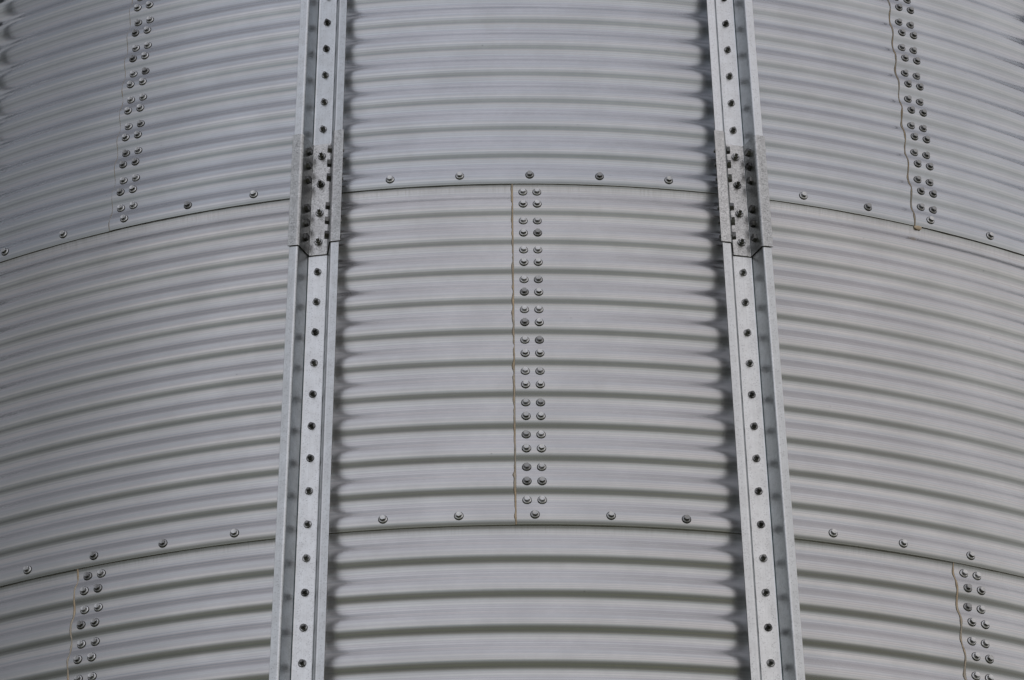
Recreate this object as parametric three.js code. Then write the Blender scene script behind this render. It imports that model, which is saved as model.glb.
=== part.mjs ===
import * as THREE from 'three';

// A stiffened section of a corrugated grain silo wall: four bays wide and three rings of sheets
// high. Millimetres, +Z up, outside of the silo towards -Y, origin under the middle of its box.

// The silo
const BAYS_AROUND = 18;
const BAY_ARC = 1200;
const BAYS_PER_SHEET = 2;

// The corrugated sheets
const PITCH = 104;
const CORRUGATION_DEPTH = 13;
const PITCHES_PER_RING = 11;
const SHEET_THICKNESS = 1.5;
const HORIZONTAL_LAP = 26;
const VERTICAL_LAP = 48;

// The section that is built
const RING_NAMES = ['lower', 'middle', 'upper'];
const BAYS_BUILT = 4;
const FACET_ANGLE = 5;

// The hat-shaped stiffeners and their splice sleeves
const WEB_WIDTH = 56;
const SIDE_DEPTH = 56;
const SIDE_FLARE = 18;
const FLANGE_WIDTH = 25;
const STIFFENER_THICKNESS = 3;
const SLEEVE_LENGTH = 404;
const SLEEVE_FLANGE_EXTRA = 4;

// The sealant bead along each vertical lap
const BEAD_WIDTH = 5;
const BEAD_HEIGHT = 1.2;

// Clearance between pieces that touch on the real wall
const SEAT_GAP = 0.3;

// Sizes worked out from the ones above
const WALL_RADIUS = (BAYS_AROUND * BAY_ARC) / (2 * Math.PI);
const BAY_ANGLE = 360 / BAYS_AROUND;
const SHEET_ANGLE = BAY_ANGLE * BAYS_PER_SHEET;
const LAP_ANGLE = VERTICAL_LAP / WALL_RADIUS * 180 / Math.PI;
const EDGE_ANGLE = BAYS_BUILT * BAY_ANGLE / 2 + LAP_ANGLE;
const RING_HEIGHT = PITCH * PITCHES_PER_RING;
const SECTION_HEIGHT = RING_HEIGHT * RING_NAMES.length + 2 * HORIZONTAL_LAP;
const JOINT_HEIGHT = HORIZONTAL_LAP + 2 * RING_HEIGHT - PITCH / 2;

// Lapped sheets lie a layer apart. The rings are staggered by half a sheet, so a ring has to step
// outwards by a layer and a half to clear the one below it everywhere.
const LAYER_STEP = SHEET_THICKNESS + SEAT_GAP;
const RING_STEP = LAYER_STEP * (1 + 1 / BAYS_PER_SHEET);

// The wall's radius is kept at the stiffener that stands nearest to a sheet's left edge, half a
// bay from it.
const OUTERMOST_STEP = LAYER_STEP * (1 - 0.5 / BAYS_PER_SHEET) + RING_STEP;

const galvanisedSheet = new THREE.MeshStandardMaterial({
  color: 0x9c9da3,
  roughness: 0.5,
  metalness: 0.75,
});
const galvanisedStiffener = new THREE.MeshStandardMaterial({
  color: 0xb0b1b8,
  roughness: 0.45,
  metalness: 0.75,
});
const dullSleeve = new THREE.MeshStandardMaterial({
  color: 0x8e8e90,
  roughness: 0.6,
  metalness: 0.7,
});
const tanSealant = new THREE.MeshStandardMaterial({
  color: 0x8a7350,
  roughness: 0.9,
  metalness: 0,
});

const radians = THREE.MathUtils.degToRad;

// How far the wall lies inside its crests at a height above a crest line: each pitch has a flat
// crest, a slope, a flat valley and a slope, a quarter of the pitch each.
function corrugation(height) {
  const quarter = PITCH / 4;
  const fromCrest = Math.abs(height - PITCH * Math.round(height / PITCH));
  const downSlope = THREE.MathUtils.clamp((fromCrest - quarter / 2) / quarter, 0, 1);
  return -CORRUGATION_DEPTH * downSlope;
}

// Two ends and the bends between them, which lie halfway along each step counted from zero. A crest,
// and the middle of a flat facet, is at each whole number of steps.
function endsAndBends(low, high, step) {
  const values = [low];
  for (let n = Math.floor(low / step + 0.5); (n + 0.5) * step < high; n += 1) {
    values.push((n + 0.5) * step);
  }
  values.push(high);
  return values;
}

// A sheet lies outside its left-hand neighbour's lap edge and outside the ring below it, so it
// steps inwards from left to right and from bottom to top, by the layers that it laps.
function lapOffset(angle, height, sheetStart) {
  const across = (angle - sheetStart) / SHEET_ANGLE;
  const up = height / RING_HEIGHT;
  return LAYER_STEP * (1 - across) + RING_STEP * (1 - up) - OUTERMOST_STEP;
}

// A point of the wall's outer face, or one that lies a distance outside it.
function wallPoint(angle, height, ring, sheetStart, outward) {
  const facetCentre = FACET_ANGLE * Math.round(angle / FACET_ANGLE);
  const flatRadius = WALL_RADIUS + lapOffset(angle, height, sheetStart) + corrugation(height)
    + outward;
  const radius = flatRadius / Math.cos(radians(angle - facetCentre));
  return new THREE.Vector3(
    radius * Math.sin(radians(angle)),
    -radius * Math.cos(radians(angle)),
    HORIZONTAL_LAP + ring * RING_HEIGHT + height,
  );
}

// A closed body swept up a list of heights. section(height) gives the corners of its level
// section, which run against the clock seen from above.
function sweptBody(heights, section) {
  const loops = heights.map(section);
  const corners = loops[0].length;
  const positions = loops.flat().flatMap((point) => point.toArray());
  const index = [];
  for (let level = 0; level + 1 < heights.length; level += 1) {
    for (let corner = 0; corner < corners; corner += 1) {
      const next = (corner + 1) % corners;
      const here = level * corners;
      const above = here + corners;
      index.push(here + corner, here + next, above + next);
      index.push(here + corner, above + next, above + corner);
    }
  }
  const top = (heights.length - 1) * corners;
  for (let a = 0, d = corners - 1; d - a > 1; a += 1, d -= 1) {
    const b = a + 1;
    const c = d - 1;
    index.push(a, d, b);
    index.push(top + a, top + b, top + d);
    if (c > b) {
      index.push(b, d, c);
      index.push(top + b, top + c, top + d);
    }
  }
  const geometry = new THREE.BufferGeometry();
  geometry.setAttribute('position', new THREE.Float32BufferAttribute(positions, 3));
  geometry.setIndex(index);
  geometry.computeVertexNormals();
  return geometry;
}

// A corrugated sheet, or the part of one that lies within the section's edges. Its level section
// runs along the outer face and back along the inner one.
function makeSheet(name, ring, sheetStart) {
  const start = Math.max(sheetStart - LAP_ANGLE, -EDGE_ANGLE);
  const end = Math.min(sheetStart + SHEET_ANGLE + LAP_ANGLE, EDGE_ANGLE);
  const angles = endsAndBends(start, end, FACET_ANGLE);
  const heights = endsAndBends(-HORIZONTAL_LAP, RING_HEIGHT + HORIZONTAL_LAP, PITCH / 4);
  const geometry = sweptBody(heights, (height) => {
    const outer = angles.map((angle) => wallPoint(angle, height, ring, sheetStart, 0));
    const inner = angles.map(
      (angle) => wallPoint(angle, height, ring, sheetStart, -SHEET_THICKNESS),
    );
    return [...outer, ...inner.reverse()];
  });
  const mesh = new THREE.Mesh(geometry, galvanisedSheet);
  mesh.name = name;
  return mesh;
}

// The bead that is squeezed out of a vertical lap: a low ridge on the sheet underneath, against
// the outer sheet's left edge.
function makeBead(name, ring, seamAngle) {
  const lowerSheetStart = seamAngle - SHEET_ANGLE;
  const perMillimetre = 180 / Math.PI / WALL_RADIUS;
  const right = seamAngle - LAP_ANGLE - SEAT_GAP * perMillimetre;
  const left = right - BEAD_WIDTH * perMillimetre;
  const top = RING_HEIGHT - HORIZONTAL_LAP - SEAT_GAP;
  const corner = (angle, height, outward) =>
    wallPoint(angle, height, ring, lowerSheetStart, SEAT_GAP + outward);
  const heights = endsAndBends(-HORIZONTAL_LAP, top, PITCH / 4);
  const geometry = sweptBody(heights, (height) => [
    corner(left, height, 0),
    corner(right, height, BEAD_HEIGHT),
    corner(right, height, 0),
  ]);
  const mesh = new THREE.Mesh(geometry, tanSealant);
  mesh.name = name;
  return mesh;
}

// The visible face of the hat section: flange, side, web, side, flange, with x along the wall and
// y outwards from the back of the web.
function hatLine(flangeWidth) {
  const webEdge = WEB_WIDTH / 2;
  const mouthEdge = webEdge + SIDE_FLARE;
  const flangeEdge = mouthEdge + flangeWidth;
  const web = STIFFENER_THICKNESS;
  const mouth = web + SIDE_DEPTH;
  return [
    [-flangeEdge, mouth],
    [-mouthEdge, mouth],
    [-webEdge, web],
    [webEdge, web],
    [mouthEdge, mouth],
    [flangeEdge, mouth],
  ].map(([x, y]) => new THREE.Vector2(x, y));
}

// The same line moved sideways to its left by a distance, with mitred corners.
function offsetLine(line, distance) {
  const leftOf = (from, to) => new THREE.Vector2(from.y - to.y, to.x - from.x).normalize();
  return line.map((point, i) => {
    const before = i > 0 ? leftOf(line[i - 1], point) : leftOf(point, line[i + 1]);
    const after = i + 1 < line.length ? leftOf(point, line[i + 1]) : before;
    const mitre = before.clone().add(after);
    return point.clone().addScaledVector(mitre, distance / (1 + before.dot(after)));
  });
}

// A length of hat section standing on the wall's crests. Its front face lies a step outside the
// stiffener's visible face.
function makeHat(name, material, flangeWidth, step, bottom, top) {
  const line = hatLine(flangeWidth);
  const front = offsetLine(line, step);
  const back = offsetLine(line, step - STIFFENER_THICKNESS);
  const outline = [...front, ...back.reverse()];
  const shape = new THREE.Shape(outline.map((point) => new THREE.Vector2(point.x, -point.y)));
  const geometry = new THREE.ExtrudeGeometry(shape, { depth: top - bottom, bevelEnabled: false });
  const mesh = new THREE.Mesh(geometry, material);
  mesh.name = name;
  mesh.position.set(0, -(WALL_RADIUS + SEAT_GAP), bottom);
  return mesh;
}

// One upright: two lengths of stiffener and the sleeve over their joint, turned to its bay.
function makeUpright(number, angle) {
  const upright = new THREE.Group();
  const sleeveStep = SEAT_GAP + STIFFENER_THICKNESS;
  upright.add(
    makeHat(
      `stiffener_${number}_lower`, galvanisedStiffener, FLANGE_WIDTH, 0,
      0, JOINT_HEIGHT - SEAT_GAP / 2,
    ),
    makeHat(
      `stiffener_${number}_upper`, galvanisedStiffener, FLANGE_WIDTH, 0,
      JOINT_HEIGHT + SEAT_GAP / 2, SECTION_HEIGHT,
    ),
    makeHat(
      `splice_sleeve_${number}`, dullSleeve, FLANGE_WIDTH + SLEEVE_FLANGE_EXTRA, sleeveStep,
      JOINT_HEIGHT - SLEEVE_LENGTH / 2, JOINT_HEIGHT + SLEEVE_LENGTH / 2,
    ),
  );
  upright.rotation.z = radians(angle);
  return upright;
}

const wall = new THREE.Group();

// The rings are staggered by one bay: the middle ring's lap is at the section's middle, and the
// others' laps are one bay to each side of it.
const outerSides = ['left', 'right'];
const threeSides = ['left', 'centre', 'right'];
RING_NAMES.forEach((ringName, ring) => {
  const sides = ringName === 'middle' ? outerSides : threeSides;
  const firstStart = -SHEET_ANGLE * sides.length / 2;
  sides.forEach((side, i) => {
    const sheetStart = firstStart + i * SHEET_ANGLE;
    wall.add(makeSheet(`${ringName}_sheet_${side}`, ring, sheetStart));
    if (i > 0) wall.add(makeBead(`${ringName}_seam_sealant_${i}`, ring, sheetStart));
  });
});

for (let bay = 0; bay < BAYS_BUILT; bay += 1) {
  const angle = (bay + 0.5 - BAYS_BUILT / 2) * BAY_ANGLE;
  wall.add(makeUpright(bay + 1, angle));
}

// The origin goes under the middle of the section's box.
const centre = new THREE.Box3().setFromObject(wall).getCenter(new THREE.Vector3());
wall.position.set(-centre.x, -centre.y, 0);

export default wall;
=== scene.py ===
# %% [markdown]
# # Dressing a section of a grain silo's wall
#
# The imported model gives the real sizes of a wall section: lapped sheets, uprights and splice sleeves,
# all with flat facets. This lesson builds the fine surfaces around it: round corrugations, rolled bends,
# sealed laps, every bolt, and the zinc that covers all of them. Everything is in metres, in the model's
# own frame: +Z goes up the wall and -Y out of the silo.

import math
import random
from collections import Counter

import bpy
import numpy as np
from mathutils import Matrix, Vector, noise


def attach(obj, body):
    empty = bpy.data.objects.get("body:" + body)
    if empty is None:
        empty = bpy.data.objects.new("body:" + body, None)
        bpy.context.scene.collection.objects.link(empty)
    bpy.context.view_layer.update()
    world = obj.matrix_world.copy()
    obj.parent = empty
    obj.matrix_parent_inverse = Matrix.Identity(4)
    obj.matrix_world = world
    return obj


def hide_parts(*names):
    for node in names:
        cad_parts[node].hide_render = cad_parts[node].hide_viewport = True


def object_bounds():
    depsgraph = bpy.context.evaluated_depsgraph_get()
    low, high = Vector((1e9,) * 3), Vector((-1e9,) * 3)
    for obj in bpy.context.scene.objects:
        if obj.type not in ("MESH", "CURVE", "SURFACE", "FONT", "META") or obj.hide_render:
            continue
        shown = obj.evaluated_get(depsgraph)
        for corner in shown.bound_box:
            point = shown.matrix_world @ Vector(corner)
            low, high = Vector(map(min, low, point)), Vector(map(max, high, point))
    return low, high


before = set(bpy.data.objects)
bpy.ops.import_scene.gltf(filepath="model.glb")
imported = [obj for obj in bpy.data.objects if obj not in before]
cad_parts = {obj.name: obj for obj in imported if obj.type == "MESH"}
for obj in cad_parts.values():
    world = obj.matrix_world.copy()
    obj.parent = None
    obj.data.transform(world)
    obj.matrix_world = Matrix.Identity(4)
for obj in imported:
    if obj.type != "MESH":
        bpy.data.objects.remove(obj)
cad_low, cad_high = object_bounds()
print("CAD box in metres", [round(v, 4) for v in (*cad_low, *cad_high)])

# %% [markdown]
# ## Where everything is
#
# A round wall is easiest to think of in two numbers: the angle round the silo's axis and the height.
# A handful of real sizes fix the rest, so they come first and are used by every piece. The axis itself is
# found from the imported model's box, because the front of the box is the flange of a splice sleeve.

# %% Sizes of the wall
BAYS_AROUND = 18
BAY_ARC = 1.2
BAYS_PER_SHEET = 2
BAYS_BUILT = 4
RING_NAMES = ("lower", "middle", "upper")

PITCH = 0.104
CORRUGATION_DEPTH = 0.013
PITCHES_PER_RING = 11
SHEET_THICKNESS = 0.0015
HORIZONTAL_LAP = 0.026
VERTICAL_LAP = 0.048
SEAT_GAP = 0.0003

WALL_RADIUS = BAYS_AROUND * BAY_ARC / (2 * math.pi)
BAY_ANGLE = 2 * math.pi / BAYS_AROUND
SHEET_ANGLE = BAY_ANGLE * BAYS_PER_SHEET
LAP_ANGLE = VERTICAL_LAP / WALL_RADIUS
EDGE_ANGLE = BAY_ANGLE * BAYS_BUILT / 2 + LAP_ANGLE
RING_HEIGHT = PITCH * PITCHES_PER_RING
SECTION_HEIGHT = RING_HEIGHT * len(RING_NAMES) + 2 * HORIZONTAL_LAP
UPRIGHT_ANGLES = [(bay + 0.5 - BAYS_BUILT / 2) * BAY_ANGLE for bay in range(BAYS_BUILT)]
print(f"wall radius {WALL_RADIUS:.3f} m, ring height {RING_HEIGHT:.3f} m")

# %% Sizes of the uprights
WEB_WIDTH = 0.056
SIDE_DEPTH = 0.056
SIDE_FLARE = 0.018
FLANGE_WIDTH = 0.025
STIFFENER_THICKNESS = 0.003
SLEEVE_LENGTH = 0.404
SLEEVE_FLANGE_EXTRA = 0.004
SLEEVE_STEP = SEAT_GAP + STIFFENER_THICKNESS
JOINT_HEIGHT = HORIZONTAL_LAP + 2 * RING_HEIGHT - PITCH / 2
WEB_BACK_RADIUS = WALL_RADIUS + SEAT_GAP

# %% Find the silo's axis
sleeve_front = WEB_BACK_RADIUS + STIFFENER_THICKNESS + SIDE_DEPTH + SLEEVE_STEP
sleeve_half_width = WEB_WIDTH / 2 + SIDE_FLARE + FLANGE_WIDTH + SLEEVE_FLANGE_EXTRA
front_reach = sleeve_front * math.cos(BAY_ANGLE / 2) + sleeve_half_width * math.sin(BAY_ANGLE / 2)
AXIS_Y = cad_low.y + front_reach


def wall_place(angle, radius, height):
    """The point at an angle round the axis, a distance from it, and a height."""
    return Vector((radius * math.sin(angle), AXIS_Y - radius * math.cos(angle), height))


def wall_axes(angle):
    """The directions along the wall, to the right, and straight out of it."""
    along = Vector((math.cos(angle), math.sin(angle), 0))
    out = Vector((math.sin(angle), -math.cos(angle), 0))
    return along, out


print(f"the axis stands {AXIS_Y:.4f} m behind the origin")

# %% [markdown]
# ## The camera
#
# The photograph was taken from the ground, close to the wall, looking up. The rows of bolts give the
# camera away: they are evenly spaced on a cylinder, so one position, direction and lens explain where all
# of them appear. The rotations are multiplied in the order in which a photographer makes them: turn to
# face the wall, tilt up, then roll the camera about its own lens.

# %% Place the camera
CAMERA_FROM_AXIS = 9.727
CAMERA_AZIMUTH = math.radians(-1.083)
CAMERA_HEIGHT = -2.780
CAMERA_YAW = math.radians(0.087)
CAMERA_TILT = math.radians(35.667)
CAMERA_ROLL = math.radians(0.608)
SENSOR_WIDTH_MM = 36.0
LENS_MM = 99.40

camera_data = bpy.data.cameras.new("photograph_camera")
camera_data.sensor_width = SENSOR_WIDTH_MM
camera_data.lens = LENS_MM
camera = bpy.data.objects.new("photograph_camera", camera_data)
bpy.context.scene.collection.objects.link(camera)
camera.matrix_world = (
    Matrix.Translation(wall_place(CAMERA_AZIMUTH, CAMERA_FROM_AXIS, CAMERA_HEIGHT))
    @ Matrix.Rotation(CAMERA_AZIMUTH - CAMERA_YAW, 4, "Z")
    @ Matrix.Rotation(math.pi / 2 + CAMERA_TILT, 4, "X")
    @ Matrix.Rotation(-CAMERA_ROLL, 4, "Z")
)
bpy.context.scene.camera = camera
print("camera at", [round(v, 3) for v in camera.location])

# %% [markdown]
# ## Node helpers
#
# Shader trees are quicker to read when each node is one call that says what goes into it. An input is
# given by its name or number, with a plain value or with the socket that feeds it.

# %% Write nodes in one line
def set_inputs(tree, node, inputs):
    """Gives a node's inputs plain values, or links them to the sockets that feed them."""
    for name, value in inputs.items():
        if isinstance(value, bpy.types.NodeSocket):
            tree.links.new(value, node.inputs[name])
        else:
            node.inputs[name].default_value = value


def add_node(tree, kind, inputs=None, **settings):
    """Adds a node, applies its settings, and then its inputs."""
    node = tree.nodes.new(kind)
    for name, value in settings.items():
        setattr(node, name, value)
    set_inputs(tree, node, inputs or {})
    return node


def math_node(tree, operation, *values):
    """A Math node's result."""
    return add_node(tree, "ShaderNodeMath", dict(enumerate(values)), operation=operation).outputs[0]


def mix_colours(tree, factor, first, second, blend="MIX"):
    """A Mix node's colour: first where factor is 0, second where it is 1."""
    inputs = {0: factor, 6: first, 7: second}
    return add_node(tree, "ShaderNodeMix", inputs, data_type="RGBA", blend_type=blend).outputs[2]


def tinted(tree, colour, tint):
    """A colour multiplied by another."""
    return mix_colours(tree, 1.0, colour, tint, "MULTIPLY")


def remap(tree, value, low, high, to_low=0.0, to_high=1.0, interpolation="SMOOTHSTEP"):
    """A value moved from one range to another and held there, eased at both ends or straight."""
    inputs = {0: value, 1: low, 2: high, 3: to_low, 4: to_high}
    return add_node(tree, "ShaderNodeMapRange", inputs, interpolation_type=interpolation).outputs[0]


def noise_value(tree, vector, scale, detail=2.0, roughness=0.5):
    """A Noise texture's value, about 0.5 on average."""
    inputs = {"Vector": vector, "Scale": scale, "Detail": detail, "Roughness": roughness}
    return add_node(tree, "ShaderNodeTexNoise", inputs).outputs["Fac"]


def scaled(tree, vector, by):
    """A vector with each axis scaled, which stretches the texture that reads it."""
    return add_node(tree, "ShaderNodeVectorMath", {0: vector, 1: by}, operation="MULTIPLY").outputs[0]


def grey(value, warmth=0.0):
    """A nearly neutral colour, a little warmer or cooler."""
    return (value * (1 + warmth), value, value * (1 - warmth), 1)


# %% [markdown]
# ## Light from all round
#
# Bare zinc has hardly any colour of its own: it shows what it mirrors. Outdoors that is a bright overcast
# sky above and dark ground below, and the corrugation cuts the border between them into bands. Lamps would
# make spots, so the light here is a World with a soft gradient by direction. The direction's Z is the sine
# of its height above the horizon, so a ramp on Z draws the sky from the ground up. It isn't even all
# round: it is dimmer behind the left end of the wall and high up at both sides, and runs from a cool left
# to a warm right. Each of these is a mask that rises between two values of how far a direction points
# that way.

# %% Light the scene with a gradient sky
SKY_STRENGTH = 0.60
SKY_BY_ELEVATION = (
    (-90, (0.19, 0.19, 0.15)),
    (-15, (0.19, 0.20, 0.14)),
    (-9, (0.28, 0.29, 0.27)),
    (-4, (0.45, 0.48, 0.47)),
    (-1, (0.77, 0.80, 0.80)),
    (12, (0.97, 0.98, 1.01)),
    (30, (0.97, 0.98, 1.01)),
    (42, (0.88, 0.91, 0.98)),
    (70, (0.93, 0.94, 1.01)),
    (78, (0.97, 0.97, 1.03)),
    (84, (0.92, 0.92, 0.99)),
    (90, (0.85, 0.86, 0.95)),
)
DIM_SIDE = (-1.0, 0.47, 0.0)
DIM_SIDE_REACH = (0.05, 0.52)
DIM_SIDE_SHARE = 0.40
SIDEWAYS_REACH = (0.06, 0.22)
HIGH_REACH = (0.78, 0.95)
HIGH_SIDE_SHARE = 0.70
TINT_REACH = (-0.3, 0.5)
COOL_SIDE = (1.02, 1.02, 1.045, 1)
WARM_SIDE = (1.04, 1.00, 0.97, 1)
BACKDROP_GREY = 0.5


def ramp_place(elevation_degrees):
    """The place on a 0 to 1 ramp of a height above the horizon."""
    return (1 + math.sin(math.radians(elevation_degrees))) / 2


world = bpy.data.worlds.new("soft_sky")
world.use_nodes = True
bpy.context.scene.world = world
tree = world.node_tree
tree.nodes.clear()
direction = add_node(tree, "ShaderNodeTexCoord").outputs["Generated"]
split = add_node(tree, "ShaderNodeSeparateXYZ", {0: direction}).outputs
ramp = add_node(tree, "ShaderNodeValToRGB", {0: math_node(tree, "MULTIPLY_ADD", split["Z"], 0.5, 0.5)})
elements = ramp.color_ramp.elements
for index, (elevation, colour) in enumerate(SKY_BY_ELEVATION):
    place = ramp_place(elevation)
    element = elements[index] if index < 2 else elements.new(place)
    element.position = place
    element.color = (*colour, 1)
towards_dim_side = add_node(
    tree, "ShaderNodeVectorMath", {0: direction, 1: DIM_SIDE}, operation="DOT_PRODUCT"
).outputs["Value"]
side_share = remap(tree, towards_dim_side, *DIM_SIDE_REACH, 1.0, DIM_SIDE_SHARE)
sideways = remap(tree, math_node(tree, "ABSOLUTE", split["X"]), *SIDEWAYS_REACH)
high_side = math_node(tree, "MULTIPLY", sideways, remap(tree, split["Z"], *HIGH_REACH))
high_share = math_node(tree, "MULTIPLY_ADD", high_side, HIGH_SIDE_SHARE - 1, 1.0)
side_share = math_node(tree, "MULTIPLY", side_share, high_share)
side_tint = mix_colours(tree, remap(tree, split["X"], *TINT_REACH), COOL_SIDE, WARM_SIDE)
sky_colour = tinted(tree, tinted(tree, ramp.outputs["Color"], side_share), side_tint)
sky = add_node(tree, "ShaderNodeBackground", {"Color": sky_colour, "Strength": SKY_STRENGTH})
backdrop = add_node(tree, "ShaderNodeBackground", {"Color": grey(BACKDROP_GREY), "Strength": 1.0})
seen = add_node(tree, "ShaderNodeLightPath").outputs["Is Camera Ray"]
shown = add_node(tree, "ShaderNodeMixShader", {0: seen, 1: sky.outputs[0], 2: backdrop.outputs[0]})
add_node(tree, "ShaderNodeOutputWorld", {"Surface": shown.outputs[0]})
bpy.context.scene.view_settings.view_transform = "Standard"
print("sky ramp at", [round(ramp_place(e), 3) for e, _ in SKY_BY_ELEVATION])

# %% [markdown]
# ## The floor
#
# The section stands on a plain pale floor, but the photograph looks up from below that level. The floor's
# underside is therefore see-through: Backfacing picks a Transparent shader there. The metal doesn't mirror
# the floor either, so the dark ground of the gradient stays in its bands.

# %% Lay the floor
FLOOR_SIZE = 60.0
FLOOR_GREY = 0.8

half = FLOOR_SIZE / 2
corners = [(-half, -half, 0), (half, -half, 0), (half, half, 0), (-half, half, 0)]
floor_mesh = bpy.data.meshes.new("studio_floor")
floor_mesh.from_pydata(corners, [], [(0, 1, 2, 3)])
floor = bpy.data.objects.new("studio_floor", floor_mesh)
bpy.context.scene.collection.objects.link(floor)
floor.visible_glossy = False

floor_material = bpy.data.materials.new("pale_floor")
floor_material.use_nodes = True
tree = floor_material.node_tree
tree.nodes.clear()
pale = add_node(tree, "ShaderNodeBsdfDiffuse", {"Color": grey(FLOOR_GREY)}).outputs[0]
clear = add_node(tree, "ShaderNodeBsdfTransparent").outputs[0]
underside = add_node(tree, "ShaderNodeNewGeometry").outputs["Backfacing"]
one_sided = add_node(tree, "ShaderNodeMixShader", {0: underside, 1: pale, 2: clear})
add_node(tree, "ShaderNodeOutputMaterial", {"Surface": one_sided.outputs[0]})
floor_mesh.materials.append(floor_material)

# %% [markdown]
# ## A rounded corrugation
#
# Roll-formed sheet has round crests and valleys joined by straight flanks. The flank's angle decides which
# way each band of the wall faces, and so what it mirrors, while the pitch and depth are fixed. With two
# equal bends and a straight flank in each half pitch, the angle alone gives the bends' radius.

# %% Work out the corrugation
FLANK_ANGLE = math.radians(22.5)

BEND_RADIUS = (PITCH / 2 * math.tan(FLANK_ANGLE) - CORRUGATION_DEPTH) / (
    2 * (math.sin(FLANK_ANGLE) * math.tan(FLANK_ANGLE) - 1 + math.cos(FLANK_ANGLE))
)
BEND_REACH = BEND_RADIUS * math.sin(FLANK_ANGLE)


def corrugation(height):
    """How far the outer face lies inside its crests, at a height above a crest."""
    from_crest = abs(height - PITCH * round(height / PITCH))
    to_valley = PITCH / 2 - from_crest
    if from_crest < BEND_REACH:
        return BEND_RADIUS - math.sqrt(BEND_RADIUS**2 - from_crest**2)
    if to_valley < BEND_REACH:
        return CORRUGATION_DEPTH - BEND_RADIUS + math.sqrt(BEND_RADIUS**2 - to_valley**2)
    bend_depth = BEND_RADIUS * (1 - math.cos(FLANK_ANGLE))
    return bend_depth + (from_crest - BEND_REACH) * math.tan(FLANK_ANGLE)


print(f"bends of {BEND_RADIUS * 1000:.1f} mm radius reach {BEND_REACH * 1000:.1f} mm from a crest")

# %% [markdown]
# ## Layers of a lapped wall
#
# Each sheet's left edge laps outside the sheet before it, and its lower edge outside the ring below. So a
# sheet leans inwards by one layer from left to right and by one and a half from bottom to top. A real
# sheet is also never perfectly even. The small waves are one function of place, shared by all sheets, so
# that lapped layers move together and never cut through each other.

# %% Say where a sheet's face lies
LAYER_STEP = SHEET_THICKNESS + SEAT_GAP
RING_STEP = LAYER_STEP * (1 + 1 / BAYS_PER_SHEET)
OUTERMOST_STEP = LAYER_STEP * (1 - 0.5 / BAYS_PER_SHEET) + RING_STEP
WAVE_DEPTH = 0.00045
WAVE_LENGTH_ALONG = 0.45
WAVE_LENGTH_UP = 0.09


def waviness(angle, level):
    """The small uneven swelling of the wall at an angle and a level above the section's foot."""
    along = angle * WALL_RADIUS / WAVE_LENGTH_ALONG
    slow = noise.noise(Vector((along * 0.5, level / WAVE_LENGTH_ALONG, 3.0)))
    quick = noise.noise(Vector((along, level / WAVE_LENGTH_UP, 11.0)))
    return WAVE_DEPTH * (slow + quick)


def level_of(ring, height):
    """The level above the section's foot of a height above a ring's lowest crest."""
    return HORIZONTAL_LAP + ring * RING_HEIGHT + height


def sheet_radius(angle, height, ring, sheet_start):
    """Distance of a sheet's outer face from the axis."""
    across = (angle - sheet_start) / SHEET_ANGLE
    up = height / RING_HEIGHT
    layers = LAYER_STEP * (1 - across) + RING_STEP * (1 - up) - OUTERMOST_STEP
    return WALL_RADIUS + layers - corrugation(height) + waviness(angle, level_of(ring, height))


# %% [markdown]
# ## The sheets
#
# A sheet could be a plane with an array of bends, but a grid whose points are worked out from the two
# functions above is simpler and exact. Columns stand closer together near a sheet's ends, where it laps
# its neighbours. Only the outer face is made here; a Solidify modifier gives it the real thickness inwards.
# The face's rim is marked sharp first, so that the cut edges keep clean highlights. A UV map holds real
# metres along and up the wall, for textures that have to follow the rolling direction.

# %% A helper that makes a piece
SMOOTH_LIMIT = math.radians(35)


def make_piece(name, vertices, faces, node=None):
    """A smooth-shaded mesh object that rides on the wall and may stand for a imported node."""
    mesh = bpy.data.meshes.new(name)
    mesh.from_pydata(vertices, [], faces)
    mesh.polygons.foreach_set("use_smooth", [True] * len(mesh.polygons))
    mesh.set_sharp_from_angle(angle=SMOOTH_LIMIT)
    piece = bpy.data.objects.new(name, mesh)
    bpy.context.scene.collection.objects.link(piece)
    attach(piece, "root")
    if node:
        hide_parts(node)
    return piece


def grid_faces(rows, width, closed=False):
    """Quads between rows of points. A closed row's last point is joined to its first."""
    return [
        (row + i, row + (i + 1) % width, row + width + (i + 1) % width, row + width + i)
        for row in range(0, (rows - 1) * width, width)
        for i in range(width if closed else width - 1)
    ]


# %% Build the sheets
COLUMN_WIDTH = 0.06
EDGE_COLUMN_WIDTH = 0.012
EDGE_COLUMNS = 8
ROWS_PER_PITCH = 16
UV_MAP = "wall_metres"
SIDES_OF_RING = (("left", "centre", "right"), ("left", "right"), ("left", "centre", "right"))


def sheet_starts(ring):
    """The angles at which a ring's sheets start."""
    count = len(SIDES_OF_RING[ring])
    return [SHEET_ANGLE * (index - count / 2) for index in range(count)]


def column_angles(start, end):
    """Angles across a sheet, closer together near both of its ends."""
    fine = EDGE_COLUMN_WIDTH / WALL_RADIUS
    left = [start + i * fine for i in range(EDGE_COLUMNS)]
    right = [end - i * fine for i in range(EDGE_COLUMNS)]
    first, last = left[-1] + fine, right[-1] - fine
    count = math.ceil((last - first) * WALL_RADIUS / COLUMN_WIDTH)
    middle = [first + (last - first) * i / count for i in range(count + 1)]
    return left + middle + right[::-1]


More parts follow.
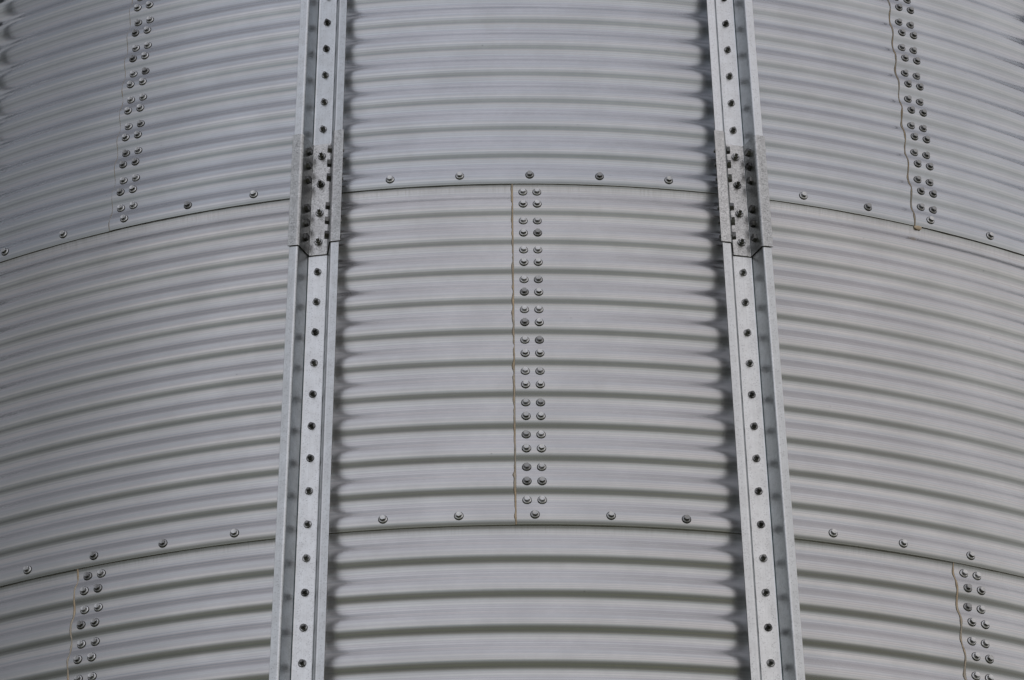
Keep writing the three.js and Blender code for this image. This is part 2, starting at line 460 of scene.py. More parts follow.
def make_sheet(node, ring, sheet_start):
    """The rounded face of one corrugated sheet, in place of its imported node."""
    start = max(sheet_start - LAP_ANGLE, -EDGE_ANGLE)
    end = min(sheet_start + SHEET_ANGLE + LAP_ANGLE, EDGE_ANGLE)
    angles = column_angles(start, end)
    row_count = round((RING_HEIGHT + 2 * HORIZONTAL_LAP) / PITCH * ROWS_PER_PITCH)
    heights = [-HORIZONTAL_LAP + PITCH * row / ROWS_PER_PITCH for row in range(row_count + 1)]
    vertices = [
        wall_place(angle, sheet_radius(angle, height, ring, sheet_start), level_of(ring, height))
        for height in heights
        for angle in angles
    ]
    faces = grid_faces(len(heights), len(angles))
    sheet = make_piece(node + "_corrugated", vertices, faces, node)
    add_wall_metres(sheet.data)
    mark_rim_sharp(sheet.data)
    skin = sheet.modifiers.new("thickness", "SOLIDIFY")
    skin.thickness = SHEET_THICKNESS
    skin.offset = -1
    skin.use_even_offset = True
    skin.material_offset_rim = 1
    return sheet


def add_wall_metres(mesh):
    """A UV map of metres along the wall and up it."""
    layer = mesh.uv_layers.new(name=UV_MAP)
    for loop in mesh.loops:
        place = mesh.vertices[loop.vertex_index].co
        angle = math.atan2(place.x, AXIS_Y - place.y)
        layer.data[loop.index].uv = (angle * WALL_RADIUS, place.z)


def mark_rim_sharp(mesh):
    """Marks the edges that only one face uses."""
    use_count = Counter(key for face in mesh.polygons for key in face.edge_keys)
    for edge in mesh.edges:
        edge.use_edge_sharp = edge.use_edge_sharp or use_count[edge.key] == 1


sheets = []
seams = []
for ring, ring_name in enumerate(RING_NAMES):
    for index, sheet_start in enumerate(sheet_starts(ring)):
        sheets.append(make_sheet(f"{ring_name}_sheet_{SIDES_OF_RING[ring][index]}", ring, sheet_start))
        if index > 0:
            seams.append((f"{ring_name}_seam_sealant_{index}", ring, sheet_start))
print(len(sheets), "sheets,", sum(len(s.data.polygons) for s in sheets), "faces on their outer side")

# %% [markdown]
# ## The uprights
#
# A stiffener is one long strip, folded into an open hat: two flanges, two flared sides and a web that is
# bolted to the crests. Its section is drawn once as the visible line, with an arc in each fold. The other
# face is the same line moved along its normals, so the metal is equally thick round the bends, and the
# splice sleeve is the same line again, moved outwards to nest inside the hat.
#
# The web is the brightest zinc and the flanges are duller. The sides are darkened as painted shade and the
# creases much more, while the bends beside them stay as bright as the web, a painted highlight. So a letter
# for each point of the line says which kind of place it is: L and R for the left and right flange, E for a
# bend painted as if it catches the light, S for a side, C for a crease and W for the web. The letter becomes
# a number on the mesh that the material reads later.

# %% Draw the hat section
INSIDE_FOLD_RADIUS = 0.005
OUTSIDE_FOLD_RADIUS = 0.006
FOLD_STEPS = 5
FOLD_MARGIN = 0.0025
PLACES_ON_LINE = "L" + "LEESSSSS" + "SCCCEEEW" + "WEEECCCS" + "SSSSSEER" + "R"
# Numbers below 1 darken a place towards a cool colour: on S and C this is painted shade, on L and R duller
# zinc; E keeps the bends bright, a painted highlight.
SHINE_OF_PLACE = {"L": 0.80, "R": 0.80, "E": 1.0, "S": 0.70, "C": 0.12, "W": 1.0}
SHINE_BEHIND = 0.78
SHINE_ATTRIBUTE = "shine"

# Each length makes some of its places a little brighter or darker; for S this changes the painted shade of
# its sides.
SHINE_SCALE_OF_LENGTH = {
    "stiffener_2_lower": {"L": 0.95, "R": 1.03},
    "stiffener_2_upper": {"L": 1.04, "R": 0.94, "S": 1.05, "W": 0.84},
    "stiffener_3_lower": {"L": 1.14, "R": 1.06},
    "stiffener_3_upper": {"L": 1.25, "R": 1.20, "S": 1.04},
    "splice_sleeve_2": {"L": 0.92},
    "splice_sleeve_3": {"L": 1.25, "R": 1.06, "S": 0.88},
}
TINT_OF_LENGTH = {
    "stiffener_2_lower": (0.985, 0.99, 1.0, 1),
    "stiffener_2_upper": (0.96, 0.975, 1.0, 1),
    "stiffener_3_upper": (0.97, 0.98, 1.0, 1),
}
TINT_ATTRIBUTE = "tint"


def hat_line(flange_width, offset):
    """The visible line of the hat, moved outwards by an offset: x along the wall, y out of it."""
    web_edge = WEB_WIDTH / 2
    mouth_edge = web_edge + SIDE_FLARE
    mouth = STIFFENER_THICKNESS + SIDE_DEPTH
    right = [(web_edge, STIFFENER_THICKNESS), (mouth_edge, mouth), (mouth_edge + flange_width, mouth)]
    left = [(-x, y) for x, y in right[::-1]]
    corners = [Vector(corner) for corner in left + right]
    line = [corners[0] + Vector((0, offset))]
    for before, corner, after in zip(corners, corners[1:], corners[2:]):
        line += fold(before, corner, after, offset)
    line.append(corners[-1] + Vector((0, offset)))
    return line


def fold(before, corner, after, offset):
    """Points of the arc that rounds a corner, with one more on the flat at each side of it."""
    first = (corner - before).orthogonal().normalized()
    last = (after - corner).orthogonal().normalized()
    turn = first.angle_signed(last)
    radius = INSIDE_FOLD_RADIUS if turn < 0 else -OUTSIDE_FOLD_RADIUS
    centre = corner + (first + last) * radius / (1 + first.dot(last))
    arc = []
    for step in range(FOLD_STEPS + 1):
        normal = first.copy()
        normal.rotate(Matrix.Rotation(-turn * step / FOLD_STEPS, 2))
        arc.append(centre - normal * radius + normal * offset)
    margin_before = arc[0] + (before - corner).normalized() * FOLD_MARGIN
    margin_after = arc[-1] + (after - corner).normalized() * FOLD_MARGIN
    return [margin_before, *arc, margin_after]


section = hat_line(FLANGE_WIDTH, 0)
print("hat section with", len(section), "points and", len(PLACES_ON_LINE), "letters")

# %% Build the stiffeners and sleeves
CUT_EDGE_BEVEL = 0.0005
CUT_EDGE_ANGLE = math.radians(50)
ROLLED, CUT_EDGE = 0, 1


def store(piece, name, values, kind="FLOAT", field="value"):
    """Stores a number or a colour for each point of a piece."""
    piece.data.attributes.new(name, kind, "POINT").data.foreach_set(field, values)


def make_hat(node, angle, flange_width, step, bottom, top):
    """A length of hat section on the wall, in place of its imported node."""
    front = hat_line(flange_width, step)
    outline = front + hat_line(flange_width, step - STIFFENER_THICKNESS)[::-1]
    along, out = wall_axes(angle)
    foot = wall_place(angle, WEB_BACK_RADIUS, 0)
    vertices = [
        foot + along * point.x + out * point.y + Vector((0, 0, level))
        for level in (bottom, top)
        for point in outline
    ]
    count = len(outline)
    faces = grid_faces(2, count, closed=True)
    lips = (len(front) - 1, count - 1)
    numbers = [CUT_EDGE if i in lips else ROLLED for i in range(count)]
    for i in range(len(front) - 1):
        j = count - 1 - i
        faces += [(i, j, j - 1, i + 1), (count + i, count + i + 1, count + j - 1, count + j)]
        numbers += [CUT_EDGE, CUT_EDGE]
    hat = make_piece(node + "_rolled", vertices, faces, node)
    hat.data.polygons.foreach_set("material_index", numbers)
    shine_scale = SHINE_SCALE_OF_LENGTH.get(node, {})
    front_shine = [SHINE_OF_PLACE[place] * shine_scale.get(place, 1.0) for place in PLACES_ON_LINE]
    store(hat, SHINE_ATTRIBUTE, (front_shine + [SHINE_BEHIND] * len(front)) * 2)
    tint = TINT_OF_LENGTH.get(node, grey(1.0))
    store(hat, TINT_ATTRIBUTE, tint * len(vertices), "FLOAT_COLOR", "color")
    bevel = hat.modifiers.new("cut_edges", "BEVEL")
    bevel.width = CUT_EDGE_BEVEL
    bevel.segments = 2
    bevel.limit_method = "ANGLE"
    bevel.angle_limit = CUT_EDGE_ANGLE
    hat.modifiers.new("flat_faces", "WEIGHTED_NORMAL").keep_sharp = True
    return hat


LENGTHS = (
    ("stiffener_{}_lower", FLANGE_WIDTH, 0, 0, JOINT_HEIGHT - SEAT_GAP / 2),
    ("stiffener_{}_upper", FLANGE_WIDTH, 0, JOINT_HEIGHT + SEAT_GAP / 2, SECTION_HEIGHT),
    (
        "splice_sleeve_{}", FLANGE_WIDTH + SLEEVE_FLANGE_EXTRA, SLEEVE_STEP,
        JOINT_HEIGHT - SLEEVE_LENGTH / 2, JOINT_HEIGHT + SLEEVE_LENGTH / 2,
    ),
)
hats = [
    make_hat(name.format(number), angle, *sizes)
    for number, angle in enumerate(UPRIGHT_ANGLES, 1)
    for name, *sizes in LENGTHS
]
stiffeners = [hat for hat in hats if hat.name.startswith("stiffener")]
sleeves = [hat for hat in hats if hat not in stiffeners]
print(len(stiffeners), "stiffener lengths and", len(sleeves), "sleeves")

# %% [markdown]
# ## Bolts
#
# Every seam is a row of bolts, and there are hundreds, so the bolt is drawn once and its copies are joined
# into one mesh for each seam. A bolt is a few turned shapes, which are rings of points about an axis, and a
# hexagon. A hexagon with a chamfer is a ring too: its radius changes with the angle, and the chamfer cuts
# lower at the corners than on the flats, which draws the curved lines that a real bolt head has. These
# shapes are drawn in millimetres, and turned into metres when they are joined into a bolt.

# %% Turned and hexagonal shapes
HEXAGON_SEGMENTS = 24
CHAMFER_ANGLE = math.radians(30)
RIM_SHARE = 0.95
DISH_SHARE = 0.86
DISH_DEPTHS = (0.1, 0.4)
THREAD_PITCH = 1.75
THREAD_DEPTH = 0.7
CHAMFER_SHARE = 0.8
TIP_RADIUS = 0.4
MILLIMETRE = 0.001


def ring_faces(rings, segments):
    """The faces of a solid made of rings: its floor, the quads between rings, and its lid."""
    floor = tuple(range(segments))[::-1]
    lid = tuple(range((rings - 1) * segments, rings * segments))
    return [floor, *grid_faces(rings, segments, closed=True), lid]


def ring_solid(rings):
    """A closed solid about +Z, through rings that have a (radius, height) for each angle."""
    segments = len(rings[0])
    turns = [2 * math.pi * i / segments for i in range(segments)]
    points = [
        (radius * math.cos(turn), radius * math.sin(turn), height)
        for ring in rings
        for turn, (radius, height) in zip(turns, ring)
    ]
    return points, ring_faces(len(rings), segments)


def turned(profile, segments=18):
    """A turned solid about +Z, through a profile of (radius, height)."""
    return ring_solid([[place] * segments for place in profile])


def strip_floor(segments):
    """A hexagon's floor in strips from corner to corner, because its points are in line on each flat."""
    corner = segments // 12
    pairs = [((corner - i) % segments, (corner + i) % segments) for i in range(segments // 2 + 1)]
    return [
        tuple(dict.fromkeys((left, next_left, next_right, right)))
        for (left, right), (next_left, next_right) in zip(pairs, pairs[1:])
    ]


def hexagon(across_flats, bottom, top, inner_radius, segments=HEXAGON_SEGMENTS):
    """A chamfered hexagon that stands on bottom, with a shallow dish inside its top rim."""
    rim = across_flats / 2 * RIM_SHARE
    sixth = math.pi / 3
    from_flats = [(2 * math.pi * i / segments + sixth / 2) % sixth - sixth / 2 for i in range(segments)]
    radii = [across_flats / 2 / math.cos(from_flat) for from_flat in from_flats]
    points, faces = ring_solid([
        [(radius, bottom) for radius in radii],
        [(radius, top - (radius - rim) * math.tan(CHAMFER_ANGLE)) for radius in radii],
        [(rim, top)] * segments,
        [(rim * DISH_SHARE, top - DISH_DEPTHS[0])] * segments,
        [(inner_radius, top - DISH_DEPTHS[1])] * segments,
    ])
    return points, strip_floor(segments) + faces[1:]


def threaded_end(radius, bottom, top, segments=12):
    """A bolt's threaded end, with its ridges and a chamfered tip."""
    profile = []
    level = bottom
    while level < top - 2 * THREAD_PITCH:
        profile += [(radius, level), (radius - THREAD_DEPTH, level + THREAD_PITCH / 2)]
        level += THREAD_PITCH
    profile += [(radius - THREAD_DEPTH / 2, level), (radius * CHAMFER_SHARE, top), (TIP_RADIUS, top)]
    return turned(profile, segments)


def joined(*parts):
    """Shapes joined into one, in metres: each part is (points and faces, material number or numbers)."""
    points, faces, numbers = [], [], []
    for (part_points, part_faces), number in parts:
        first = len(points)
        points += part_points
        faces += [tuple(first + corner for corner in face) for face in part_faces]
        numbers += number if isinstance(number, list) else [number] * len(part_faces)
    return np.array(points) * MILLIMETRE, faces, numbers


# %% Draw the bolt from outside and inside
ZINC, RUBBER, SHADED_ZINC = 0, 1, 2
# A hexagon's floor and sides take painted shade, and then its chamfer, dish and lid the plain zinc.
SHADED_SIDES = [SHADED_ZINC] * (HEXAGON_SEGMENTS // 2 + HEXAGON_SEGMENTS) + [ZINC] * (3 * HEXAGON_SEGMENTS + 1)

# Heights are counted from the metal that the bolt stands on.
# The dark ring under the head is painted shade. The rubber is black, and its wide rim also stands in for the
# shadow round the washer.
seam_head = joined(
    (turned([(12.2, -2.6), (12.9, 0), (12.6, 1.4), (9, 1.9)]), RUBBER),
    (turned([(9, 1.4), (10.8, 1.6), (11, 2.1), (10.5, 2.7), (8.8, 3.4), (6, 3.5)]), ZINC),
    (turned([(8.4, 3.3), (8.5, 4), (7, 4.6)]), SHADED_ZINC),
    (hexagon(13.6, 4.2, 12.2, 3), SHADED_SIDES),
)
plain_nut = joined(
    (turned([(10.5, -0.4), (10.5, 1.4), (5, 1.4)], 12), ZINC),
    (hexagon(16.5, 1.2, 9.2, 4, 12), ZINC),
    (threaded_end(4.8, 8, 15, 8), ZINC),
)
# The uprights' nuts: outer ring, hexagon and end in dark zinc as painted shade, with a ring of plain zinc
# between.
web_nut = joined(
    (turned([(11.2, -0.2), (11.1, 1.4), (6, 1.6)]), SHADED_ZINC),
    (turned([(9, 1.2), (8.8, 2.2), (6, 2.6)]), ZINC),
    (hexagon(13.8, 2.2, 9.2, 5), SHADED_ZINC),
    (threaded_end(4.6, 8.2, 15), SHADED_ZINC),
)
# The plain zinc tip of the long end is a painted highlight on the shaded thread.
long_web_nut = joined(
    (turned([(12.4, -0.2), (12.2, 1.8), (6, 2)]), SHADED_ZINC),
    (turned([(9.9, 1.6), (9.7, 2.8), (6, 3.2)]), ZINC),
    (hexagon(14.6, 2.8, 11.5, 5), SHADED_SIDES),
    (threaded_end(4.6, 10.5, 21), SHADED_ZINC),
    (turned([(4, 20.8), (3.9, 21.8), (TIP_RADIUS, 22)], 12), ZINC),
)
# The sleeves' side bolts sit in the channel, all in dark zinc as painted shade.
side_washer = turned([(12.5, -0.2), (12.5, 2), (6, 2)])
side_head = joined((side_washer, SHADED_ZINC), (hexagon(20.5, 1.8, 11.2, 4), SHADED_ZINC))
side_nut = joined(
    (side_washer, SHADED_ZINC),
    (hexagon(20, 1.8, 12.5, 5), SHADED_ZINC),
    (threaded_end(5.8, 11, 30), SHADED_ZINC),
)
for name, shape in (("seam head", seam_head), ("web nut", web_nut), ("plain nut", plain_nut)):
    print(name, len(shape[0]), "points", len(shape[1]), "faces")

# %% [markdown]
# ## Copies without thousands of objects
#
# Each copy is the drawn shape times a matrix, with its own turn about the bolt's axis and a slight lean,
# because nobody lines bolts up. NumPy moves all points of a copy at once. Each copy also gets one random
# number, its tone, stored on its points, so that a single material can make some bolts duller than others.

# %% Place copies of a shape
random.seed(41)
LEAN = math.radians(1.6)
TONE_ATTRIBUTE = "tone"


def facing(position, out, up=Vector((0, 0, 1))):
    """A matrix that puts a shape at a position with its +Z pointing out."""
    along = up.cross(out).normalized()
    matrix = Matrix((along, out.cross(along), out)).transposed().to_4x4()
    matrix.translation = position
    return matrix


def make_bolts(name, copies, tone_share=1.0):
    """One mesh with every copy in a list of (shape, matrix)."""
    points, faces, numbers, tones = [], [], [], []
    for (shape_points, shape_faces, shape_numbers), matrix in copies:
        spin = Matrix.Rotation(random.uniform(0, math.pi / 3), 4, "Z")
        lean = Matrix.Rotation(random.uniform(-LEAN, LEAN), 4, random.choice("XY"))
        placed = np.array(matrix @ lean @ spin)
        points.append(shape_points @ placed[:3, :3].T + placed[:3, 3])
        first = len(tones)
        faces += [tuple(first + corner for corner in face) for face in shape_faces]
        numbers += shape_numbers
        tones += [random.random() * tone_share] * len(shape_points)
    bolts = make_piece(name, np.concatenate(points).tolist(), faces)
    bolts.data.polygons.foreach_set("material_index", numbers)
    store(bolts, TONE_ATTRIBUTE, tones)
    return bolts


# %% [markdown]
# ## The rows of bolts
#
# Three kinds of row hold the wall. A horizontal seam has one bolt every sixth of a bay, on the crest that
# both rings share. A vertical lap has two columns with a bolt on every crest and in every valley. Each
# upright is bolted through its web at every crest. Heads with sealing washers face the weather on the
# seams, while the uprights show their nuts. The other half of each bolt is inside the silo. The bolts of
# the upper right lap get low tones as painted shade. The real wall is too matt to mirror its small bolts,
# so the bolts of seams and laps are hidden from glossy rays.

# %% Find the layers under a bolt
BOLTS_PER_BAY = 6
LAP_COLUMN_OFFSET = 0.020
VALLEY_LIFT = 0.0012


def face_radius(angle, height, ring, outermost):
    """The wall's outermost or innermost outer face at a place where sheets may lap."""
    reach = LAP_ANGLE if outermost else -LAP_ANGLE
    starts = sheet_starts(ring)
    under = [start for start in starts if start <= angle + reach + 1e-9]
    return sheet_radius(angle, height, ring, max(under) if under else starts[0])


def bolt_pair(angle, level, outer_radius, inner_face, outer_shape, inner_shape):
    """Both halves of a bolt through the wall, whose innermost sheet has its outer face there."""
    out = wall_axes(angle)[1]
    return [
        (outer_shape, facing(wall_place(angle, outer_radius, level), out)),
        (inner_shape, facing(wall_place(angle, inner_face - SHEET_THICKNESS, level), -out)),
    ]


# %% Bolt the horizontal seams
bolt_pieces = []
bolt_step = BAY_ANGLE / BOLTS_PER_BAY
last_bolt = BOLTS_PER_BAY * BAYS_BUILT // 2
for seam, seam_name in enumerate(("foot_seam", "lower_seam", "upper_seam", "top_seam")):
    outer_place = (0, seam) if seam < len(RING_NAMES) else (RING_HEIGHT, seam - 1)
    inner_place = (RING_HEIGHT, seam - 1) if seam > 0 else (0, 0)
    copies = []
    for index in range(-last_bolt, last_bolt + 1):
        if index % BOLTS_PER_BAY == BOLTS_PER_BAY // 2:
            continue
        angle = index * bolt_step
        outer = face_radius(angle, *outer_place, True)
        inner = face_radius(angle, *inner_place, False)
        copies += bolt_pair(angle, level_of(seam, 0), outer, inner, seam_head, plain_nut)
    bolt_pieces.append(make_bolts(seam_name + "_bolts", copies))
print(len(copies) // 2, "bolts in each horizontal seam")

# %% Bolt the vertical laps
BAYS_OF_LAPS = ((-1, 1), (-2, 0, 2), (-1, 1))
# The upper right lap's bolts are given low tones as painted shade.
SHADED_LAP = "upper_lap_bolts_2"
SHADED_LAP_TONES = 0.2

column_shift = LAP_COLUMN_OFFSET / WALL_RADIUS
for ring, ring_name in enumerate(RING_NAMES):
    for number, bay in enumerate(BAYS_OF_LAPS[ring], 1):
        copies = []
        for half_pitch in range(1, 2 * PITCHES_PER_RING):
            height = half_pitch * PITCH / 2
            lift = VALLEY_LIFT if half_pitch % 2 else 0
            for angle in (bay * BAY_ANGLE - column_shift, bay * BAY_ANGLE + column_shift):
                outer = face_radius(angle, height, ring, True) + lift
                inner = face_radius(angle, height, ring, False)
                copies += bolt_pair(angle, level_of(ring, height), outer, inner, seam_head, plain_nut)
        name = f"{ring_name}_lap_bolts_{number}"
        bolt_pieces.append(make_bolts(name, copies, SHADED_LAP_TONES if name == SHADED_LAP else 1.0))
for piece in bolt_pieces:
    piece.visible_glossy = False
print(len(copies) // 2, "bolts in each vertical lap")

# %% Bolt the uprights
web_front = WEB_BACK_RADIUS + STIFFENER_THICKNESS
for number, angle in enumerate(UPRIGHT_ANGLES, 1):
    copies = []
    for crest in range(PITCHES_PER_RING * len(RING_NAMES) + 1):
        ring = min(crest // PITCHES_PER_RING, len(RING_NAMES) - 1)
        height = (crest - ring * PITCHES_PER_RING) * PITCH
        level = HORIZONTAL_LAP + crest * PITCH
        inner_place = (RING_HEIGHT, ring - 1) if crest > 0 and height == 0 else (height, ring)
        inner = face_radius(angle, *inner_place, False)
        in_sleeve = abs(level - JOINT_HEIGHT) < SLEEVE_LENGTH / 2
        outer = web_front + (SLEEVE_STEP if in_sleeve else 0)
        nut = long_web_nut if in_sleeve else web_nut
        copies += bolt_pair(angle, level, outer, inner, nut, seam_head)
    bolt_pieces.append(make_bolts(f"web_bolts_{number}", copies))
print(len(copies) // 2, "bolts in each upright's web")

# %% Bolt the sleeves' sides
SIDE_BOLT_STEP = 0.052
SIDE_BOLT_GROUP_GAP = 0.104
SIDE_BOLT_SHARE = 0.52

slope = Vector((SIDE_FLARE, SIDE_DEPTH)).normalized()
across = WEB_WIDTH / 2 + SIDE_FLARE * SIDE_BOLT_SHARE
side_radius = WEB_BACK_RADIUS + STIFFENER_THICKNESS + SIDE_DEPTH * SIDE_BOLT_SHARE
for number, angle in enumerate(UPRIGHT_ANGLES, 1):
    along, out = wall_axes(angle)
    copies = []
    for side in (-1, 1):
        into_channel = (along * -side * slope.y + out * slope.x).normalized()
        for group in (-1, 1):
            for step in range(3):
                level = JOINT_HEIGHT + group * (SIDE_BOLT_GROUP_GAP / 2 + step * SIDE_BOLT_STEP)
                place = wall_place(angle, side_radius, level) + along * side * across
                copies.append((side_head, facing(place + into_channel * SLEEVE_STEP, into_channel)))
                nut_place = place - into_channel * STIFFENER_THICKNESS
                copies.append((side_nut, facing(nut_place, -into_channel)))
    bolt_pieces.append(make_bolts(f"sleeve_side_bolts_{number}", copies))
print(len(copies) // 2, "bolts in the sides of each sleeve")

# %% [markdown]
# ## Sealant
#
# Butyl is laid between the sheets before they are bolted, and the bolts squeeze a thin bead of it out of
# each vertical lap. It follows the corrugation down the outer sheet's edge, wanders a little and changes
# width. So it is a low ridge swept along the edge, with noise in its place and width. Its two edges are
# darkened, partly dirt and partly painted shade where it meets the sheets. The upper ring's beads are
# thinner than the others, under a film of dirt. Like the bolts beside them, the beads are hidden from
# glossy rays.

# %% Squeeze out the sealant
BEAD_WIDTH = 0.0065
BEAD_HEIGHT = 0.0021
BEAD_STEP = 0.004
BEAD_OVERLAP = 0.0004
BEAD_WANDER = 0.0006
SLOW_SWELL = 0.6
QUICK_SWELL = 0.65
HEIGHT_SWELL = 0.4
BEAD_SHAPE = ((0.0, -0.3), (0.06, 0.35), (0.25, 0.85), (0.5, 1.0), (0.78, 0.9), (1.0, 0.75), (1.0, -0.3))
# Dark at both edges, partly dirt and partly painted shade where the bead meets the sheets; clean in the
# middle.
BEAD_EDGE_DIRT_AND_SHADE = (1.0, 1.0, 0.35, 0.0, 0.0, 0.8, 1.0)
THIN_BEADS = {"upper_seam_sealant_1": 0.45, "upper_seam_sealant_2": 0.75}
THIN_BEAD_FILM = 0.35
DIRT_AND_SHADE_ATTRIBUTE = "dirt"


def make_bead(node, ring, seam):
    """The bead beside one vertical lap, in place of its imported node."""
    edge = seam - LAP_ANGLE
    steps = round((RING_HEIGHT - SEAT_GAP) / BEAD_STEP)
    fullness = THIN_BEADS.get(node, 1.0)
    vertices = []
    for step in range(steps + 1):
        height = -HORIZONTAL_LAP + step * (RING_HEIGHT - SEAT_GAP) / steps
        level = level_of(ring, height)
        # Each noise has its own pace along the bead and its own line through the noise.
        place = level * 9 + seam * 50
        width = BEAD_WIDTH * (1 + SLOW_SWELL * noise.noise(Vector((place, 0, 0))))
        width += BEAD_WIDTH * QUICK_SWELL * noise.noise(Vector((place * 5, 5, 0)))
        wander = BEAD_WANDER * noise.noise(Vector((place * 2.5, 9, 0)))
        height_share = fullness * (1 + HEIGHT_SWELL * noise.noise(Vector((place * 4, 0, 7))))
        radius = sheet_radius(edge, height, ring, seam - SHEET_ANGLE)
        for across, up in BEAD_SHAPE:
            angle = edge + (wander + width * fullness * (across - 1) + BEAD_OVERLAP) / WALL_RADIUS
            vertices.append(wall_place(angle, radius + BEAD_HEIGHT * up * height_share, level))
    bead = make_piece(node + "_bead", vertices, ring_faces(steps + 1, len(BEAD_SHAPE)), node)
    film = THIN_BEAD_FILM if node in THIN_BEADS else 0.0
    store(bead, DIRT_AND_SHADE_ATTRIBUTE, [max(amount, film) for amount in BEAD_EDGE_DIRT_AND_SHADE] * (steps + 1))
    bead.visible_glossy = False
    return bead


beads = [make_bead(*seam) for seam in seams]
print(len(beads), "beads of", len(beads[0].data.polygons), "faces")

# %% A lump of sealant at the end of a seam
LUMP_SIZE = (0.013, 0.0075, 0.0045)
LUMP_RINGS = 10
LUMP_SWELL = 0.35
LUMP_ASIDE = 0.010
LUMP_BELOW = 0.003
LUMP_LIFT = 0.001


def make_lump(name, angle, level, radius):
    """A squeezed-out lump, flat against the wall."""
    matrix = facing(wall_place(angle, radius, level), wall_axes(angle)[1])
    tilts = [math.pi * ring / LUMP_RINGS for ring in range(LUMP_RINGS - 1, 0, -1)]
    ball, faces = turned([(math.sin(tilt), math.cos(tilt)) for tilt in tilts])
    points = []
    for unit in map(Vector, ball):
        swell = 1 + LUMP_SWELL * noise.noise(unit * 1.7)
        points.append(matrix @ (unit * swell * Vector(LUMP_SIZE)))
    return make_piece(name, points, faces)


lump_angle = BAY_ANGLE - LAP_ANGLE + LUMP_ASIDE / WALL_RADIUS
lump_level = 2 * RING_HEIGHT - LUMP_BELOW
lump_radius = face_radius(lump_angle, RING_HEIGHT - HORIZONTAL_LAP, 1, True) + LUMP_LIFT
beads.append(make_lump("sealant_lump", lump_angle, lump_level, lump_radius))
print("a lump of sealant at a level of", round(lump_level, 3), "m")

# %% [markdown]
# ## Effects that several finishes share
#
# Zinc on sheet, on rolled sections and on bolts has the same small faults in different amounts: streaks
# along the rolling direction, cloudy mottling, specks, and grime. Each is made once as a node group with
# its own inputs, and each material places it with its own values. A group only puts out numbers between
# 0 and 1, and the material decides what they change.

# %% Helpers for node groups
def new_group(name, inputs, outputs):
    """An empty shader group that reads a Vector and the named numbers, and puts out numbers."""
    group = bpy.data.node_groups.new(name, "ShaderNodeTree")
    group.interface.new_socket("Vector", in_out="INPUT", socket_type="NodeSocketVector")
    for socket_name, default in inputs.items():
        socket = group.interface.new_socket(socket_name, in_out="INPUT", socket_type="NodeSocketFloat")
        socket.default_value = default
    for socket_name in outputs:
        group.interface.new_socket(socket_name, in_out="OUTPUT", socket_type="NodeSocketFloat")
    return group, group.nodes.new("NodeGroupInput").outputs, group.nodes.new("NodeGroupOutput")


def random_cells(tree, vector, scale):
    """The distance from a random cell's middle, and three random numbers of the cell."""
    cells = add_node(tree, "ShaderNodeTexVoronoi", {"Vector": vector, "Scale": scale}).outputs
    tones = add_node(tree, "ShaderNodeSeparateColor", {0: cells["Color"]}).outputs
    return cells["Distance"], tones


# %% Streaks along the rolling direction
streaks_group, entry, way_out = new_group(
    "rolling_streaks", {"Across Scale": 150.0, "Along Scale": 1.5}, ["Value"]
)
stretch = add_node(
    streaks_group,
    "ShaderNodeCombineXYZ",
    {0: entry["Along Scale"], 1: entry["Across Scale"], 2: entry["Across Scale"]},
).outputs[0]
streak = noise_value(streaks_group, scaled(streaks_group, entry["Vector"], stretch), 1.0, 3.0, 0.6)
set_inputs(streaks_group, way_out, {"Value": remap(streaks_group, streak, 0.3, 0.7)})

# %% Cloudy mottling with faint crystals
mottle_group, entry, way_out = new_group(
    "zinc_mottle", {"Cloud Scale": 6.0, "Crystal Scale": 90.0}, ["Clouds", "Crystals"]
)
clouds = noise_value(mottle_group, entry["Vector"], entry["Cloud Scale"], 5.0, 0.6)
_, tones = random_cells(mottle_group, entry["Vector"], entry["Crystal Scale"])
set_inputs(mottle_group, way_out, {"Clouds": remap(mottle_group, clouds, 0.3, 0.7), "Crystals": tones[0]})

# %% Small dark specks
specks_group, entry, way_out = new_group("specks", {"Scale": 60.0, "Size": 0.15, "Share": 0.2}, ["Mask"])
distance, tones = random_cells(specks_group, entry["Vector"], entry["Scale"])
near = remap(specks_group, distance, entry["Size"], 0.0, interpolation="LINEAR")
chosen = math_node(specks_group, "LESS_THAN", tones[1], entry["Share"])
set_inputs(specks_group, way_out, {"Mask": math_node(specks_group, "MULTIPLY", near, chosen)})

# %% Patches of grime
grime_group, entry, way_out = new_group("grime", {"Scale": 8.0, "Amount": 0.3}, ["Mask"])
patches = noise_value(grime_group, entry["Vector"], entry["Scale"], 8.0, 0.7)
threshold = math_node(grime_group, "MULTIPLY_ADD", entry["Amount"], -0.5, 0.75)
grimy = remap(grime_group, patches, threshold, 0.85, interpolation="LINEAR")
set_inputs(grime_group, way_out, {"Mask": grimy})
print("groups:", [group.name for group in bpy.data.node_groups])

# %% [markdown]
# ## Weathered sheet
#
# The sheet is the largest surface, and it is a metal: Metallic is 1, Base Color is what it reflects, and
# Roughness blurs the reflected sky. The bands of the corrugation stay crisp, while the uprights' reflections
# beside them are soft, so the blur has to be wider sideways than up and down: that is what Anisotropic does,
# along the direction that a Tangent node reads from the UV map. On its own all this is too perfect. The
# forming rolls leave fine lines that repeat in every corrugation, clouds and crystals change the colour a
# little, and water that creeps out of the horizontal laps leaves faint runs under them. Right under each
# lap's edge a dark line is painted, partly dirt and partly painted shade of the lap, and a thin painted
# highlight runs along the lapping sheet's edge above it.
# The upper ring is cooler, because its sheets were rolled from another coil.

